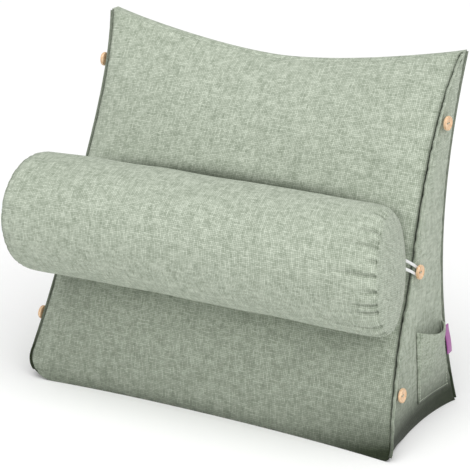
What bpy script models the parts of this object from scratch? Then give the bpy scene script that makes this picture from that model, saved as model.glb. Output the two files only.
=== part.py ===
"""Backrest pillow: a filled wedge cushion with a neck roll buttoned across its sloped front.

Metres, +Z up. The front faces -Y, the side pocket is on +X, and the origin is the middle of the flat base.
"""
import math

import bmesh
import bpy
from mathutils import Matrix, Vector
from mathutils.bvhtree import BVHTree

# Wedge cushion: its corners before the filling rounds it
BASE_WIDTH = 0.468
TOP_WIDTH = 0.440
HEIGHT = 0.399
BASE_DEPTH = 0.179
TOP_DEPTH = 0.013
LEAN = 0.025

# How far the seams and edges are drawn in at their middles; a skew makes that more at the top
FRONT_SEAM_IN = 0.0143
FRONT_SEAM_SKEW = 0.21
BACK_SEAM_IN = 0.018
BACK_SEAM_SKEW = -0.14
BACK_SEAM_FORWARD = 0.011
TOP_DIP = 0.034
BASE_EDGE_IN = 0.012
BASE_EDGE_LIFT = 0.003
CORNER_TUCK = 0.011
EDGE_BOW = 2.2

# How far the filling crowns each panel
FRONT_CROWN = 0.030
BACK_CROWN = 0.018
SIDE_CROWN = 0.006
SIDE_CROWN_LEAST = 0.35
TOP_CROWN = 0.001

# Neck roll, lying along X on the sloped face
ROLL_RADIUS = 0.068
ROLL_HALF_LENGTH = 0.2165
ROLL_UP_FACE = 0.193
ROLL_FLAT = 0.004
ROLL_BEND = 0.003
ROLL_LEFT_DROP = 0.0030
ROLL_END_TILT = {-1: 0.105, 1: 0.13}
ROLL_END_SLANT = {-1: -0.025, 1: -0.16}
ROLL_END_DRAW = {-1: 0.012, 1: 0.08}
ROLL_DRAW_LENGTH = 0.004
ROLL_END_BULGE = 0.0087
ROLL_SIDES = 48
ROLL_CLEARANCE = 0.0012
PUCKER_DEPTH = 0.0016

# Welts in the four side seams
WELT_RADIUS = 0.0023
WELT_PROUD = 0.0012
WELT_POINTS = 30
WELT_FROM = -0.975
WELT_TO = 0.98

# Buttons: heights up the side seams, right side, and how much higher they sit on the left
BUTTON_RADIUS = 0.008
BUTTON_THICKNESS = 0.0036
BUTTON_SIDES = 20
SHANK_RADIUS = 0.0017
SHANK_LENGTH = 0.0036
BUTTON_HEIGHTS = {"top": 0.327, "mid": 0.181, "bottom": 0.062}
BUTTON_LEFT_RISE = {"top": 0.016, "mid": 0, "bottom": 0.005}
BUTTON_BEHIND_SEAM = 0.0065

# Pocket on the right side panel: front and back edges, and the heights of its corners
POCKET_FRONT_TOP = (0.000, 0.113)
POCKET_FRONT_BOTTOM = (0.005, 0.027)
POCKET_BACK_BOTTOM = (0.078, 0.022)
POCKET_BACK_TOP = (0.076, 0.099)
POCKET_SAG = 0.005
POCKET_GAPE = 0.013
POCKET_CLOTH = 0.0015
POCKET_OFF_PANEL = 0.0006
POCKET_HEM = 0.0026
POCKET_HEM_HEIGHT = 0.012
POCKET_STEPS = (14, 11)

# Woven tag sewn in at the back seam beside the pocket
TAG_HEIGHT = 0.032
TAG_WIDTH = 0.012
TAG_THICKNESS = 0.0012
TAG_MIDDLE_HEIGHT = 0.074
TAG_BACK = -0.002
TAG_ROWS = 4

# Elastic loops from the roll's ends to the middle buttons
LOOP_RADIUS = 0.0010
LOOP_SPREAD = 0.0030
LOOP_LIFT = {-1: 0.0007, 1: 0.0012}
LOOP_ROOT_UP = 0.010
LOOP_ROOT_OUT = 0.018
STRAND_STEPS = 6
BIGHT_STEPS = 8

GAP = 0.0003

# Faces of the wedge across, front to back and up, and how much closer they lie at edges and at the roll
WEDGE_STEPS = (24, 8, 28)
EDGE_CLOSENESS = 2.5
ROLL_CLOSENESS = 1.1

SLOPE = math.atan2(BASE_DEPTH - TOP_DEPTH + LEAN, HEIGHT)
FACE_ORIGIN = Vector((0, -BASE_DEPTH / 2, 0))
FACE_UP = Vector((0, math.sin(SLOPE), math.cos(SLOPE)))
FACE_OUT = Vector((0, -math.cos(SLOPE), math.sin(SLOPE)))


def clear_scene():
    for item in list(bpy.data.objects):
        bpy.data.objects.remove(item, do_unlink=True)


def make_material(name, colour, roughness):
    material = bpy.data.materials.new(name)
    material.use_nodes = True
    shader = material.node_tree.nodes["Principled BSDF"]
    shader.inputs["Base Color"].default_value = (*colour, 1)
    shader.inputs["Roughness"].default_value = roughness
    shader.inputs["Metallic"].default_value = 0
    return material


def link(name, data, material):
    item = bpy.data.objects.new(name, data)
    bpy.context.scene.collection.objects.link(item)
    data.materials.append(material)
    return item


def mesh_object(name, points, faces, material, sharp_angle=40):
    mesh = bpy.data.meshes.new(name)
    mesh.from_pydata(points, [], faces)
    mesh.validate()
    tidy = bmesh.new()
    tidy.from_mesh(mesh)
    bmesh.ops.recalc_face_normals(tidy, faces=tidy.faces)
    tidy.to_mesh(mesh)
    tidy.free()
    mesh.shade_smooth()
    mesh.set_sharp_from_angle(angle=math.radians(sharp_angle))
    return link(name, mesh, material)


def skin(rings, sides):
    """Faces over rings of points that lie one after another, with the first and last ring closed."""
    last = (rings - 1) * sides
    faces = [list(range(sides)), list(range(last, last + sides))]
    for first in range(0, last, sides):
        for n in range(sides):
            after = (n + 1) % sides
            faces.append([first + n, first + after, first + sides + after, first + sides + n])
    return faces


def tube(name, points, radius, material):
    curve = bpy.data.curves.new(name, "CURVE")
    curve.dimensions = "3D"
    curve.bevel_depth = radius
    curve.bevel_resolution = 2
    curve.use_fill_caps = True
    spline = curve.splines.new("POLY")
    spline.points.add(len(points) - 1)
    for slot, point in zip(spline.points, points):
        slot.co = (*point, 1)
    return link(name, curve, material)


def as_mesh(curve_object):
    """The same tube as a mesh object, which can be a cutter."""
    depsgraph = bpy.context.evaluated_depsgraph_get()
    mesh = bpy.data.meshes.new_from_object(curve_object.evaluated_get(depsgraph))
    item = bpy.data.objects.new(curve_object.name + "_cutter", mesh)
    bpy.context.scene.collection.objects.link(item)
    bpy.data.objects.remove(curve_object, do_unlink=True)
    return item


def as_guide(item):
    item.hide_render = True
    item.display_type = "WIRE"


def subtract(item, cutter):
    cut = item.modifiers.new("cut " + cutter.name, "BOOLEAN")
    cut.operation = "DIFFERENCE"
    cut.solver = "EXACT"
    cut.object = cutter
    as_guide(cutter)


def bow(t, power):
    """1 in the middle of an edge, 0 at its ends."""
    return 1 - abs(t) ** power


def dome(t):
    """The rounded profile that filling gives a panel between two seams."""
    return bow(t, 2.4) ** 0.75


def soft_lower(one, other, blend=0.006):
    return (one + other - math.hypot(one - other, blend)) / 2


def roll_axis(x):
    """Height up the face and distance out from it of the roll's centre line."""
    from_middle = (x / ROLL_HALF_LENGTH) ** 2
    drop = ROLL_LEFT_DROP * from_middle if x < 0 else 0
    return ROLL_UP_FACE - drop, ROLL_RADIUS - ROLL_BEND * from_middle


def trough(x, up):
    """How far out the face can reach before it meets the back of the roll."""
    axis_up, axis_out = roll_axis(x)
    round_part = ROLL_RADIUS + ROLL_CLEARANCE
    back = math.sqrt(max(round_part ** 2 - (up - axis_up) ** 2, 0))
    return axis_out - min(back, ROLL_RADIUS - ROLL_FLAT) - GAP


def cushion_point(a, b, c):
    """A point of the wedge: a runs left to right, b front to back and c base to top, each from -1 to 1."""
    rise = (c + 1) / 2
    back = (b + 1) / 2
    low = (1 - rise) ** 6
    front_y = -BASE_DEPTH / 2 + (BASE_DEPTH - TOP_DEPTH + LEAN) * rise
    back_y = BASE_DEPTH / 2 + LEAN * rise
    depth = back_y - front_y
    front_in = FRONT_SEAM_IN * bow(c, 3.3) * (1 + FRONT_SEAM_SKEW * c)
    back_in = bow(c, 2) * (1 + BACK_SEAM_SKEW * c)

    half = BASE_WIDTH / 2 + (TOP_WIDTH - BASE_WIDTH) / 2 * rise
    half -= front_in * (1 - back) + BACK_SEAM_IN * back_in * back
    half -= BASE_EDGE_IN * bow(b, EDGE_BOW) * low
    if a < 0:
        half -= CORNER_TUCK * (1 - back) * math.exp(-HEIGHT * rise / CORNER_TUCK)
    crown_share = SIDE_CROWN_LEAST + (1 - SIDE_CROWN_LEAST) * depth / BASE_DEPTH
    half += SIDE_CROWN * dome(b) * dome(c) * crown_share
    y = front_y + depth * back
    y -= BACK_SEAM_FORWARD * back_in * back * abs(a) ** 4
    y += BASE_EDGE_IN * bow(a, EDGE_BOW) * low * (1 - 2 * back)
    z = HEIGHT * rise - TOP_DIP * bow(a, 1.7) * rise ** 4
    if c == 1:
        z += TOP_CROWN * bow(b, 2) * bow(a, 4)
    if c > -1 or abs(a) == 1 or abs(b) == 1:
        z += BASE_EDGE_LIFT * max(bow(a, EDGE_BOW) * abs(b) ** 8, bow(b, EDGE_BOW) * abs(a) ** 8) * low
    point = Vector((a * half, y, z))

    if b == 1:
        point.y += BACK_CROWN * dome(a) * dome(c)
    if b == -1:
        offset = point - FACE_ORIGIN
        out = offset.dot(FACE_OUT)
        crowned = out + FRONT_CROWN * dome(a) * dome(c)
        pressed = soft_lower(crowned, trough(point.x, offset.dot(FACE_UP)))
        point += FACE_OUT * (pressed - out)
    return point


def spaced(count, weight):
    """Values from -1 to 1 that lie closer together where weight is high."""
    fine = [-1 + 2 * i / 400 for i in range(401)]
    total = [0]
    for left, right in zip(fine, fine[1:]):
        total.append(total[-1] + weight((left + right) / 2))
    values = []
    step = 0
    for i in range(count + 1):
        while step < 400 and total[step + 1] < total[-1] * i / count:
            step += 1
        share = (total[-1] * i / count - total[step]) / (total[min(step + 1, 400)] - total[step] or 1)
        values.append(-1 + 2 * (step + share) / 400)
    values[0], values[-1] = -1, 1
    return values


def edge_weight(t):
    return 1 + EDGE_CLOSENESS * abs(t) ** 10


def row_weight(t):
    middle = 2 * ROLL_UP_FACE * math.cos(SLOPE) / HEIGHT - 1
    return edge_weight(t) + ROLL_CLOSENESS * math.exp(-((t - middle) / 0.22) ** 2)


def make_wedge(material):
    steps = WEDGE_STEPS
    columns = spaced(steps[0], edge_weight)
    layers = spaced(steps[1], edge_weight)
    rows = spaced(steps[2], row_weight)
    index = {}
    points = []
    for i, a in enumerate(columns):
        for j, b in enumerate(layers):
            for k, c in enumerate(rows):
                if i in (0, steps[0]) or j in (0, steps[1]) or k in (0, steps[2]):
                    index[i, j, k] = len(points)
                    points.append(cushion_point(a, b, c))
    faces = []
    for axis in range(3):
        one, two = [n for n in range(3) if n != axis]
        for side in (0, steps[axis]):
            for p in range(steps[one]):
                for q in range(steps[two]):
                    corners = []
                    for dp, dq in ((0, 0), (1, 0), (1, 1), (0, 1)):
                        key = [side, side, side]
                        key[one] = p + dp
                        key[two] = q + dq
                        corners.append(index[tuple(key)])
                    faces.append(corners)
    return mesh_object("wedge_cushion", points, faces, material)


def tube_radius(share):
    """The roll's tube is full along its length and drawn in at its end seams."""
    side = -1 if share < 0 else 1
    from_end = (1 - abs(share)) * ROLL_HALF_LENGTH
    return ROLL_RADIUS * (1 - ROLL_END_DRAW[side] * math.exp(-from_end / ROLL_DRAW_LENGTH))


def roll_ring(share, radius, outwards):
    """One ring of the roll: share runs from -1 to 1 along its length."""
    side = -1 if share < 0 else 1
    ring = []
    for n in range(ROLL_SIDES):
        angle = 2 * math.pi * n / ROLL_SIDES
        near_end = math.exp(-((1 - abs(share)) / 0.05) ** 2)
        fold = 0.5 + 0.3 * math.sin(13 * angle + side) + 0.2 * math.sin(17 * angle - side)
        reach = radius - PUCKER_DEPTH * near_end * fold
        out = max(reach * math.cos(angle), ROLL_FLAT - ROLL_RADIUS)
        up = reach * math.sin(angle)
        x = share * (ROLL_HALF_LENGTH + ROLL_END_TILT[side] * out) + abs(share) * ROLL_END_SLANT[side] * up
        x += side * outwards
        axis_up, axis_out = roll_axis(x)
        ring.append(FACE_ORIGIN + Vector((x, 0, 0)) + FACE_UP * (axis_up + up) + FACE_OUT * (axis_out + out))
    return ring


def make_roll(material):
    """Rings from the left end panel along the tube to the right one, skinned and closed."""
    panel_radii = [0.16, 0.5, 0.82]
    tube_shares = [1, 0.988, 0.965, 0.92, 0.82, 0.6, 0.3]
    tube_shares = [-share for share in tube_shares] + tube_shares[::-1]
    rings = []
    for side, radii in ((-1, panel_radii), (1, panel_radii[::-1])):
        drawn = ROLL_RADIUS * (1 - ROLL_END_DRAW[side])
        for radius in radii:
            rings.append(roll_ring(side, drawn * radius, ROLL_END_BULGE * bow(radius, 2.4) ** 0.8))
        if side < 0:
            rings += [roll_ring(share, tube_radius(share), 0) for share in tube_shares]
    points = [point for ring in rings for point in ring]
    return mesh_object("neck_roll", points, skin(len(rings), ROLL_SIDES), material)


def seam_line(side, front):
    """Points along the middle of the welt in one side seam."""
    out = (FACE_OUT if front else Vector((0, 1, 0))) + Vector((side, 0, 0))
    out.normalize()
    line = []
    for n in range(WELT_POINTS):
        c = WELT_FROM + (WELT_TO - WELT_FROM) * n / (WELT_POINTS - 1)
        line.append(cushion_point(side, -1 if front else 1, c) + out * WELT_PROUD)
    return line


def make_welts(wedge, material):
    for side, side_name in ((-1, "left"), (1, "right")):
        for front, front_name in ((True, "front"), (False, "back")):
            name = f"welt_{front_name}_{side_name}"
            line = seam_line(side, front)
            tube(name, line, WELT_RADIUS, material)
            subtract(wedge, as_mesh(tube("groove_" + name, line, WELT_RADIUS + GAP, material)))


def surface_of(item):
    return BVHTree.FromObject(item, bpy.context.evaluated_depsgraph_get())


def side_hit(cover, side, y, z):
    """Where a ray along X meets a side panel, with the panel's outward normal there."""
    place, normal, _, _ = cover.ray_cast(Vector((side * 0.5, y, z)), Vector((-side, 0, 0)))
    return place, normal


def seam_y(z):
    return -BASE_DEPTH / 2 + (BASE_DEPTH - TOP_DEPTH + LEAN) * z / HEIGHT


def button_mesh():
    """A turned button with a dished front, lying on z = 0 with its thread shank below."""
    thick = BUTTON_THICKNESS
    profile = [
        (SHANK_RADIUS, -SHANK_LENGTH), (SHANK_RADIUS, 0), (BUTTON_RADIUS * 0.72, 0),
        (BUTTON_RADIUS * 0.97, thick * 0.35), (BUTTON_RADIUS, thick * 0.65), (BUTTON_RADIUS * 0.93, thick),
        (BUTTON_RADIUS * 0.74, thick * 0.95), (BUTTON_RADIUS * 0.62, thick * 0.72),
    ]
    points = []
    for radius, z in profile:
        for n in range(BUTTON_SIDES):
            angle = 2 * math.pi * n / BUTTON_SIDES
            points.append((radius * math.cos(angle), radius * math.sin(angle), z))
    return points, skin(len(profile), BUTTON_SIDES)


def make_buttons(cover, material):
    points, faces = button_mesh()
    seats = {}
    for side, side_name in ((-1, "left"), (1, "right")):
        for level, height in BUTTON_HEIGHTS.items():
            z = height + (BUTTON_LEFT_RISE[level] if side < 0 else 0)
            place, normal = side_hit(cover, side, seam_y(z) + BUTTON_BEHIND_SEAM, z)
            facing = (normal + Vector((side * 1.5, 0, 0))).normalized()
            turn = facing.to_track_quat("Z", "Y").to_matrix().to_4x4()
            seat = Matrix.Translation(place + facing * (SHANK_LENGTH + 2 * GAP)) @ turn
            button = mesh_object(f"button_{side_name}_{level}", points, faces, material)
            button.matrix_world = seat
            seats[side_name, level] = seat
    return seats


def make_loop(side, side_name, roll, seat, material):
    """An elastic loop: both ends at the roll's end, the bight round the middle button's shank."""
    centre = seat @ Vector((0, 0, -SHANK_LENGTH / 2))
    start = FACE_ORIGIN + FACE_UP * (ROLL_UP_FACE + LOOP_ROOT_UP) + FACE_OUT * LOOP_ROOT_OUT
    root = side_hit(roll, side, start.y, start.z)[0] + Vector((side * (LOOP_RADIUS + 2 * GAP), 0, 0))
    along = centre - root
    facing = (seat.to_3x3() @ Vector((0, 0, 1))).normalized()
    across = facing.cross(along).normalized()
    round_shank = SHANK_RADIUS + LOOP_RADIUS + 2 * GAP
    reach = along.normalized()
    points = []
    for n in range(STRAND_STEPS):
        share = n / STRAND_STEPS
        spread = LOOP_SPREAD + (round_shank - LOOP_SPREAD) * share
        lift = facing * LOOP_LIFT[side] * math.sin(math.pi * share)
        points.append(root + along * share + across * spread + lift)
    for n in range(BIGHT_STEPS + 1):
        angle = math.pi * n / BIGHT_STEPS
        points.append(centre + across * round_shank * math.cos(angle) + reach * round_shank * math.sin(angle))
    points += [point - 2 * across * (point - root).dot(across) for point in reversed(points[:STRAND_STEPS])]
    return tube(f"loop_{side_name}", points, LOOP_RADIUS, material)


def pocket_spot(across, up):
    """Y and Z of a spot on the pocket: across runs front to back and up runs base to mouth."""
    def mix(low, high, share):
        return low + (high - low) * share
    bottom = [mix(f, b, across) for f, b in zip(POCKET_FRONT_BOTTOM, POCKET_BACK_BOTTOM)]
    top = [mix(f, b, across) for f, b in zip(POCKET_FRONT_TOP, POCKET_BACK_TOP)]
    top[1] -= POCKET_SAG * math.sin(math.pi * across)
    return [mix(low, high, up) for low, high in zip(bottom, top)]


def make_pocket(cover, material):
    wide, tall = POCKET_STEPS
    inner = []
    outer = []
    height = POCKET_FRONT_TOP[1] - POCKET_FRONT_BOTTOM[1]
    for j in range(tall + 1):
        up = j / tall
        cloth = POCKET_HEM if (1 - up) * height < POCKET_HEM_HEIGHT else POCKET_CLOTH
        for i in range(wide + 1):
            across = i / wide
            y, z = pocket_spot(across, up)
            place, normal = side_hit(cover, 1, y, z)
            gape = POCKET_GAPE * math.sin(math.pi * across) ** 0.7 * up ** 1.1
            start = place + Vector((POCKET_OFF_PANEL + gape, 0, 0))
            inner.append(start)
            outer.append(start + Vector((cloth, 0, 0)))
    points = inner + outer
    shift = len(inner)
    row = wide + 1
    faces = []
    for j in range(tall):
        for i in range(wide):
            quad = [j * row + i, j * row + i + 1, (j + 1) * row + i + 1, (j + 1) * row + i]
            faces.append(quad)
            faces.append([n + shift for n in reversed(quad)])
    rim = list(range(row))
    rim += [j * row + wide for j in range(1, tall + 1)]
    rim += [tall * row + i for i in reversed(range(wide))]
    rim += [j * row for j in reversed(range(1, tall))]
    for one, two in zip(rim, rim[1:] + rim[:1]):
        faces.append([one, two, two + shift, one + shift])
    return mesh_object("pocket_right", points, faces, material, 60)


def make_tag(material):
    """The folded tag lies over the back welt, follows it and stands out past it."""
    points = []
    for step in range(TAG_ROWS + 1):
        z = TAG_MIDDLE_HEIGHT + TAG_HEIGHT * (step / TAG_ROWS - 0.5)
        seam = cushion_point(1, 1, 2 * z / HEIGHT - 1)
        start = seam + Vector((WELT_PROUD + WELT_RADIUS + 2 * GAP, TAG_BACK, z - seam.z))
        for out, along in ((0, -0.5), (1, -0.5), (1, 0.5), (0, 0.5)):
            points.append(start + Vector((TAG_THICKNESS * out, TAG_WIDTH * along, 0)))
    return mesh_object("tag_right", points, skin(TAG_ROWS + 1, 4), material)


def build():
    clear_scene()
    cloth = make_material("sage_linen", (0.42, 0.46, 0.37), 0.9)
    wood = make_material("pale_wood", (0.76, 0.55, 0.36), 0.5)
    elastic = make_material("white_elastic", (0.86, 0.86, 0.84), 0.8)
    weave = make_material("purple_tag", (0.30, 0.06, 0.27), 0.7)
    wedge = make_wedge(cloth)
    roll = surface_of(make_roll(cloth))
    make_welts(wedge, cloth)
    cover = surface_of(wedge)
    seats = make_buttons(cover, wood)
    make_loop(-1, "left", roll, seats["left", "mid"], elastic)
    make_loop(1, "right", roll, seats["right", "mid"], elastic)
    make_pocket(cover, cloth)
    make_tag(weave)


build()
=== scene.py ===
"""Backrest pillow in sage linen-look cloth: a filled wedge, a neck roll buttoned on, and a side pocket."""
import math
import bmesh
import bpy
import numpy
from mathutils import Matrix, Vector, noise
from mathutils.bvhtree import BVHTree


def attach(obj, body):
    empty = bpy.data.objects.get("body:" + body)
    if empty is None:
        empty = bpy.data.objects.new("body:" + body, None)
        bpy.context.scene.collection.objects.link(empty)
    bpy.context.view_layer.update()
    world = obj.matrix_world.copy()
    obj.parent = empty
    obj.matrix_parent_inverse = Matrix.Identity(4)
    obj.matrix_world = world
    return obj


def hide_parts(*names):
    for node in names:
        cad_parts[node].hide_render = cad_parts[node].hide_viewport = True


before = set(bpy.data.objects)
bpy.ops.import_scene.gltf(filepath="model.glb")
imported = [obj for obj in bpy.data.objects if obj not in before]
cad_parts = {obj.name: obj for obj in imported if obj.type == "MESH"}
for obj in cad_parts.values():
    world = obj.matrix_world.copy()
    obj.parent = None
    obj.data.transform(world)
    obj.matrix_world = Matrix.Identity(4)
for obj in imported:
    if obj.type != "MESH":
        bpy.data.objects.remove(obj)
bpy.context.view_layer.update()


# Camera: a long lens two metres away, to the pillow's right and above it, level and without shift.
# It looks at the middle of the pillow.
CAMERA_TURN = math.radians(28.5538)
CAMERA_RISE = math.radians(19.815)
CAMERA_AWAY = 1.9994
CAMERA_LEFT, CAMERA_DOWN = 0.0006, 0.0131
LENS_MM = 137.87
PILLOW_MIDDLE = Vector((0, 0, 0.2))

right = Vector((math.cos(CAMERA_TURN), math.sin(CAMERA_TURN), 0))
ahead = Vector((-math.sin(CAMERA_TURN) * math.cos(CAMERA_RISE),
                math.cos(CAMERA_TURN) * math.cos(CAMERA_RISE), -math.sin(CAMERA_RISE)))
upwards = right.cross(ahead)
lens = bpy.data.cameras.new("camera")
lens.lens = LENS_MM
lens.sensor_width = 36
camera = bpy.data.objects.new("camera", lens)
bpy.context.scene.collection.objects.link(camera)
camera.matrix_world = Matrix((right, upwards, -ahead)).transposed().to_4x4()
camera.location = PILLOW_MIDDLE - ahead * CAMERA_AWAY - right * CAMERA_LEFT - upwards * CAMERA_DOWN
bpy.context.scene.camera = camera


# Studio: a pale floor that runs out of the picture, a white room, a wide overhead light that comes a
# little from the front, and a soft box on the right. The helpers for colours and shader nodes follow.
FLOOR_SIZE = 14.0
ROOM_STRENGTH = 0.37
OVERHEAD_FROM = Vector((0.16, -0.44, 0.88))
OVERHEAD_STRENGTH, OVERHEAD_WIDTH = 2.5, math.radians(75)
FILL_PLACE = Vector((2.0, -0.7, 1.5))
FILL_SIZE, FILL_WATTS = 1.2, 9


def srgb(text):
    """A hex colour as the linear red, green, blue and alpha that the shaders take."""
    channels = [int(text[i:i + 2], 16) / 255 for i in (1, 3, 5)]
    return (*[c / 12.92 if c <= 0.04045 else ((c + 0.055) / 1.055) ** 2.4 for c in channels], 1)


def add_node(tree, kind, inputs=(), **settings):
    """Adds a node with its settings by name, and with inputs that are sockets to join or plain values."""
    made = tree.nodes.new(kind)
    for name, value in settings.items():
        if hasattr(made, name):
            setattr(made, name, value)
        else:
            made.inputs[name.replace("_", " ")].default_value = value
    for name, value in dict(inputs).items():
        if isinstance(value, bpy.types.NodeSocket):
            tree.links.new(value, made.inputs[name])
        else:
            made.inputs[name].default_value = value
    return made


def new_material(name, colour, **shader_values):
    """A material with its principled shader, and that shader's values."""
    made = bpy.data.materials.new(name)
    made.use_nodes = True
    shader = made.node_tree.nodes["Principled BSDF"]
    shader.inputs["Base Color"].default_value = srgb(colour)
    for key, value in shader_values.items():
        shader.inputs[key.replace("_", " ")].default_value = value
    return made, made.node_tree, shader


def soft_box(name, place, aim, size, watts):
    """A large square lamp at a place, turned to its aim."""
    lamp = bpy.data.lights.new(name, "AREA")
    lamp.size = size
    lamp.energy = watts
    item = bpy.data.objects.new(name, lamp)
    facing = (aim - place).to_track_quat("-Z", "Y")
    item.matrix_world = Matrix.Translation(place) @ facing.to_matrix().to_4x4()
    bpy.context.scene.collection.objects.link(item)


edge = FLOOR_SIZE / 2
floor_corners = [(-edge, -edge, 0), (edge, -edge, 0), (edge, edge, 0), (-edge, edge, 0)]
floor_mesh = bpy.data.meshes.new("floor")
floor_mesh.from_pydata(floor_corners, [], [(0, 1, 2, 3)])
floor = bpy.data.objects.new("floor", floor_mesh)
bpy.context.scene.collection.objects.link(floor)
floor_mesh.materials.append(new_material("pale_floor_paint", "#fafafa", Roughness=0.9)[0])

# The room is white where the camera sees it, and gives less than that as light.
room = bpy.data.worlds.new("room")
room.use_nodes = True
backdrop = room.node_tree.nodes["Background"]
backdrop.inputs["Color"].default_value = (1, 1, 1, 1)
seen = add_node(room.node_tree, "ShaderNodeLightPath")
glow = add_node(room.node_tree, "ShaderNodeMapRange", {"Value": seen.outputs["Is Camera Ray"]},
                To_Min=ROOM_STRENGTH, To_Max=1.0)
room.node_tree.links.new(glow.outputs["Result"], backdrop.inputs["Strength"])
bpy.context.scene.world = room
bpy.context.scene.view_settings.view_transform = "Standard"
overhead = bpy.data.lights.new("overhead_light", "SUN")
overhead.energy = OVERHEAD_STRENGTH
overhead.angle = OVERHEAD_WIDTH
overhead_item = bpy.data.objects.new("overhead_light", overhead)
overhead_item.rotation_euler = OVERHEAD_FROM.to_track_quat("Z", "Y").to_euler()
bpy.context.scene.collection.objects.link(overhead_item)
soft_box("fill_soft_box", FILL_PLACE, PILLOW_MIDDLE, FILL_SIZE, FILL_WATTS)


# Cover cloth: sage linen-look polyester, woven from uneven slubbed threads in two near shades.
# The eye sees a fine cross-hatch of paler and darker threads both ways, no shine, and soft nap.
THREAD_SPACING = 0.0019                     # the real, finer threads wouldn't show, so these are coarser
THREAD_WANDER, THREAD_SWAY = 0.010, 1.3     # over a centimetre a thread drifts by up to a spacing or so
SLUB_LENGTH = 0.0085
WARP_STEP, WEFT_STEP = 7.31, 5.77           # how far apart two neighbouring threads read the noise
WARP_SEED, WEFT_SEED = 1.5, 8.5
WEFT_UNDER, WEFT_GAIN = 0.32, 0.36          # the weft's share of the shade, and what it gains on top
SLUB_CONTRAST, ROUND_CONTRAST = 0.85, 0.36
PATCH_CONTRAST, PATCHES_PER_METRE = 0.03, 22.0
DARK_AT, MIDDLE_AT, PALE_AT = 0.42, 0.66, 0.88
EVEN_SHIFT = 20000                          # keeps the sum of two thread numbers above zero
SAGE_DARK = "#7f8978"
SAGE_MIDDLE = "#a3ac9b"
SAGE_PALE = "#c4ccbc"
# The next colour is painted shade: the cloth's colour is multiplied by it in seams, where the roll touches
# and towards the base.
SEAM_SHADE = "#3f4735"                      # the cloth's colour is multiplied by it deep in a seam


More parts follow.
